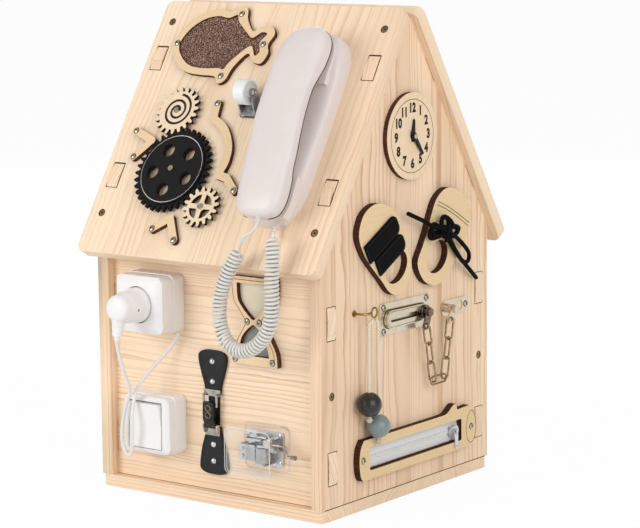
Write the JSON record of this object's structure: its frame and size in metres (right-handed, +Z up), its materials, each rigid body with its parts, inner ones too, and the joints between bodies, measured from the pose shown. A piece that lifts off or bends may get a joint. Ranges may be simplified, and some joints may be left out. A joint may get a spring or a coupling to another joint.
{
  "type": "wooden busy house",
  "caption": "Pine busy house with a gable roof that carries gears, a telephone, a socket, a switch, a clock, shoes, a zipper, beads and a door chain.",
  "frame": {"origin": "centre of the base board's underside, on the ground", "axes": "+X along the ridge, out of the gable with the clock; -Y out of the front wall with the socket; +Z up"},
  "size_m": [0.3368, 0.3973, 0.5215],
  "materials": {
    "pine": "sanded, bare",
    "birch_ply": "laser-cut, edges browned",
    "black_paint": "satin black paint",
    "grey_paint": "satin grey paint",
    "fish_fur": "brown sequined plush",
    "steel": "zinc plated",
    "white_plastic": "white, moulded",
    "phone_plastic": "warm light grey, moulded",
    "cord_plastic": "off-white PVC",
    "clear_plastic": "clear moulded styrene",
    "black_leather": "black, grained",
    "dark_nickel": "dark nickel plate",
    "black_webbing": "black woven",
    "pane_paper": "cream and glitter film",
    "zip_tape": "white woven tape",
    "zip_metal": "white lacquered",
    "brass": "yellow plated",
    "cream_string": "twisted cotton",
    "bronze": "antique plated"
  },
  "bodies": {
    "house": {"base_board": "pine", "front_wall": "pine", "rear_wall": "pine", "gable_right": "pine", "gable_left": "pine", "roof_front": "pine", "roof_rear": "pine", "carcass_screws": "steel", "module_screws": "steel", "fish_frame": "birch_ply", "fish_pad": "fish_fur", "gear_brackets": "birch_ply", "caster_plate": "steel", "phone_base": "phone_plastic", "phone_cord": "cord_plastic", "back_boxes": "white_plastic", "socket_cover": "white_plastic", "plug_cord": "cord_plastic", "switch_cover": "white_plastic", "hourglass_frame": "birch_ply", "hourglass_pane": "pane_paper", "strap_upper": "black_leather", "strap_lower": "black_leather", "clasp_keeper": "dark_nickel", "strap_rivets": "steel", "music_case": "clear_plastic", "music_movement": "steel", "clock_face": "birch_ply", "shoe_left": "birch_ply", "shoe_right": "birch_ply", "shoelace": "black_webbing", "zipper_frame": "birch_ply", "zipper_tape": "zip_tape", "string_hook": "brass", "bead_string": "cream_string", "chain_plate": "bronze", "chain_keeper": "bronze"},
    "gear_big": {"gear_big": "black_paint"},
    "gear_spiral": {"gear_spiral": "birch_ply"},
    "gear_spoked": {"gear_spoked": "birch_ply"},
    "caster_fork": {"caster_fork": "steel"},
    "caster_wheel": {"caster_wheel": "white_plastic"},
    "phone_handset": {"phone_handset": "phone_plastic"},
    "plug": {"plug": "white_plastic"},
    "switch_rocker": {"switch_rocker": "white_plastic"},
    "clasp_hook": {"clasp_hook": "dark_nickel"},
    "music_crank": {"music_crank": "steel"},
    "music_cylinder": {"music_cylinder": "steel"},
    "hour_hand": {"hour_hand": "black_paint"},
    "minute_hand": {"minute_hand": "black_paint"},
    "shoe_strap_upper": {"shoe_strap_upper": "black_webbing"},
    "shoe_strap_lower": {"shoe_strap_lower": "black_webbing"},
    "zipper_slider": {"zipper_slider": "zip_metal"},
    "zipper_pull": {"zipper_pull": "zip_metal"},
    "bead_black": {"bead_black": "black_paint"},
    "bead_grey": {"bead_grey": "grey_paint"},
    "chain_stud": {"chain_stud": "bronze"},
    "chain_left": {"chain_left": "bronze"},
    "chain_lower": {"chain_lower": "bronze"},
    "chain_right": {"chain_right": "bronze"}
  },
  "joints": [
    {"name": "gear_big_turn", "type": "hinge", "parent": "house", "child": "gear_big", "pos_m": [-0.062, -0.12501, 0.34682], "axis": [0, -0.848, 0.5299], "continuous": true},
    {"name": "gear_spiral_turn", "type": "hinge", "parent": "house", "child": "gear_spiral", "pos_m": [-0.08486, -0.08838, 0.40543], "axis": [0, -0.848, 0.5299], "continuous": true},
    {"name": "gear_spoked_turn", "type": "hinge", "parent": "house", "child": "gear_spoked", "pos_m": [-0.00703, -0.14586, 0.31344], "axis": [0, -0.848, 0.5299], "continuous": true},
    {"name": "caster_swivel", "type": "hinge", "parent": "house", "child": "caster_fork", "pos_m": [0.01, -0.08367, 0.41296], "axis": [0, -0.848, 0.5299], "continuous": true},
    {"name": "caster_roll", "type": "hinge", "parent": "caster_fork", "child": "caster_wheel", "pos_m": [0.01, -0.09523, 0.43316], "axis": [1, 0, 0], "continuous": true},
    {"name": "handset_lift", "type": "slide", "parent": "house", "child": "phone_handset", "axis": [0, -0.848, 0.5299], "range_m": [0, 0.04]},
    {"name": "plug_pull", "type": "slide", "parent": "house", "child": "plug", "axis": [0, -1, 0], "range_m": [0, 0.04]},
    {"name": "rocker_click", "type": "hinge", "parent": "house", "child": "switch_rocker", "pos_m": [-0.0705, -0.1659, 0.0805], "axis": [1, 0, 0], "range_deg": [-8, 0]},
    {"name": "clasp_open", "type": "hinge", "parent": "house", "child": "clasp_hook", "pos_m": [0.0015, -0.1509, 0.084], "axis": [1, 0, 0], "range_deg": [0, 120]},
    {"name": "crank_turn", "type": "hinge", "parent": "house", "child": "music_crank", "pos_m": [0.101, -0.1605, 0.077], "axis": [1, 0, 0], "continuous": true},
    {"name": "cylinder_turn", "type": "hinge", "parent": "house", "child": "music_cylinder", "pos_m": [0.075, -0.1575, 0.0635], "axis": [0, 0, 1], "continuous": true},
    {"name": "hour_turn", "type": "hinge", "parent": "house", "child": "hour_hand", "pos_m": [0.156, 0.002, 0.386], "axis": [1, 0, 0], "continuous": true},
    {"name": "minute_turn", "type": "hinge", "parent": "house", "child": "minute_hand", "pos_m": [0.1575, 0.002, 0.386], "axis": [1, 0, 0], "continuous": true},
    {"name": "upper_strap_lift", "type": "hinge", "parent": "house", "child": "shoe_strap_upper", "pos_m": [0.1584, -0.0868, 0.2703], "axis": [0, 0.4695, -0.8829], "range_deg": [0, 90]},
    {"name": "lower_strap_lift", "type": "hinge", "parent": "house", "child": "shoe_strap_lower", "pos_m": [0.1584, -0.0685, 0.2548], "axis": [0, 0.4695, -0.8829], "range_deg": [0, 90]},
    {"name": "zipper_slide", "type": "slide", "parent": "house", "child": "zipper_slider", "axis": [0, -1, 0], "range_m": [0, 0.145]},
    {"name": "pull_flip", "type": "hinge", "parent": "zipper_slider", "child": "zipper_pull", "pos_m": [0.1586, 0.0785, 0.0555], "axis": [0, -1, 0], "range_deg": [0, 110]},
    {"name": "black_bead_lift", "type": "slide", "parent": "house", "child": "bead_black", "axis": [0, 0, 1], "range_m": [0, 0.06]},
    {"name": "grey_bead_lift", "type": "slide", "parent": "house", "child": "bead_grey", "axis": [0, 0, 1], "range_m": [0, 0.004]},
    {"name": "stud_slide", "type": "slide", "parent": "house", "child": "chain_stud", "axis": [0, -1, 0], "range_m": [0, 0.06]},
    {"name": "left_leg_swing", "type": "hinge", "parent": "chain_stud", "child": "chain_left", "pos_m": [0.162, 0.017, 0.1832], "axis": [1, 0, 0], "range_deg": [0, 30.5]},
    {"name": "lower_link_swing", "type": "hinge", "parent": "chain_left", "child": "chain_lower", "pos_m": [0.162, 0.02941, 0.12052], "axis": [1, 0, 0], "range_deg": [-30.5, 0]},
    {"name": "right_leg_swing", "type": "hinge", "parent": "house", "child": "chain_right", "pos_m": [0.162, 0.06312, 0.1832], "axis": [1, 0, 0], "range_deg": [-30.5, 0]}
  ],
  "couplings": [
    {"joint": "gear_spiral_turn", "follows": "gear_big_turn", "ratio": -1.8},
    {"joint": "gear_spoked_turn", "follows": "gear_big_turn", "ratio": -2.25},
    {"joint": "cylinder_turn", "follows": "crank_turn", "ratio": 0.05},
    {"joint": "left_leg_swing", "follows": "stud_slide", "rad_per_m": 8.8386},
    {"joint": "lower_link_swing", "follows": "stud_slide", "rad_per_m": -8.8386},
    {"joint": "right_leg_swing", "follows": "stud_slide", "rad_per_m": -8.8386}
  ]
}
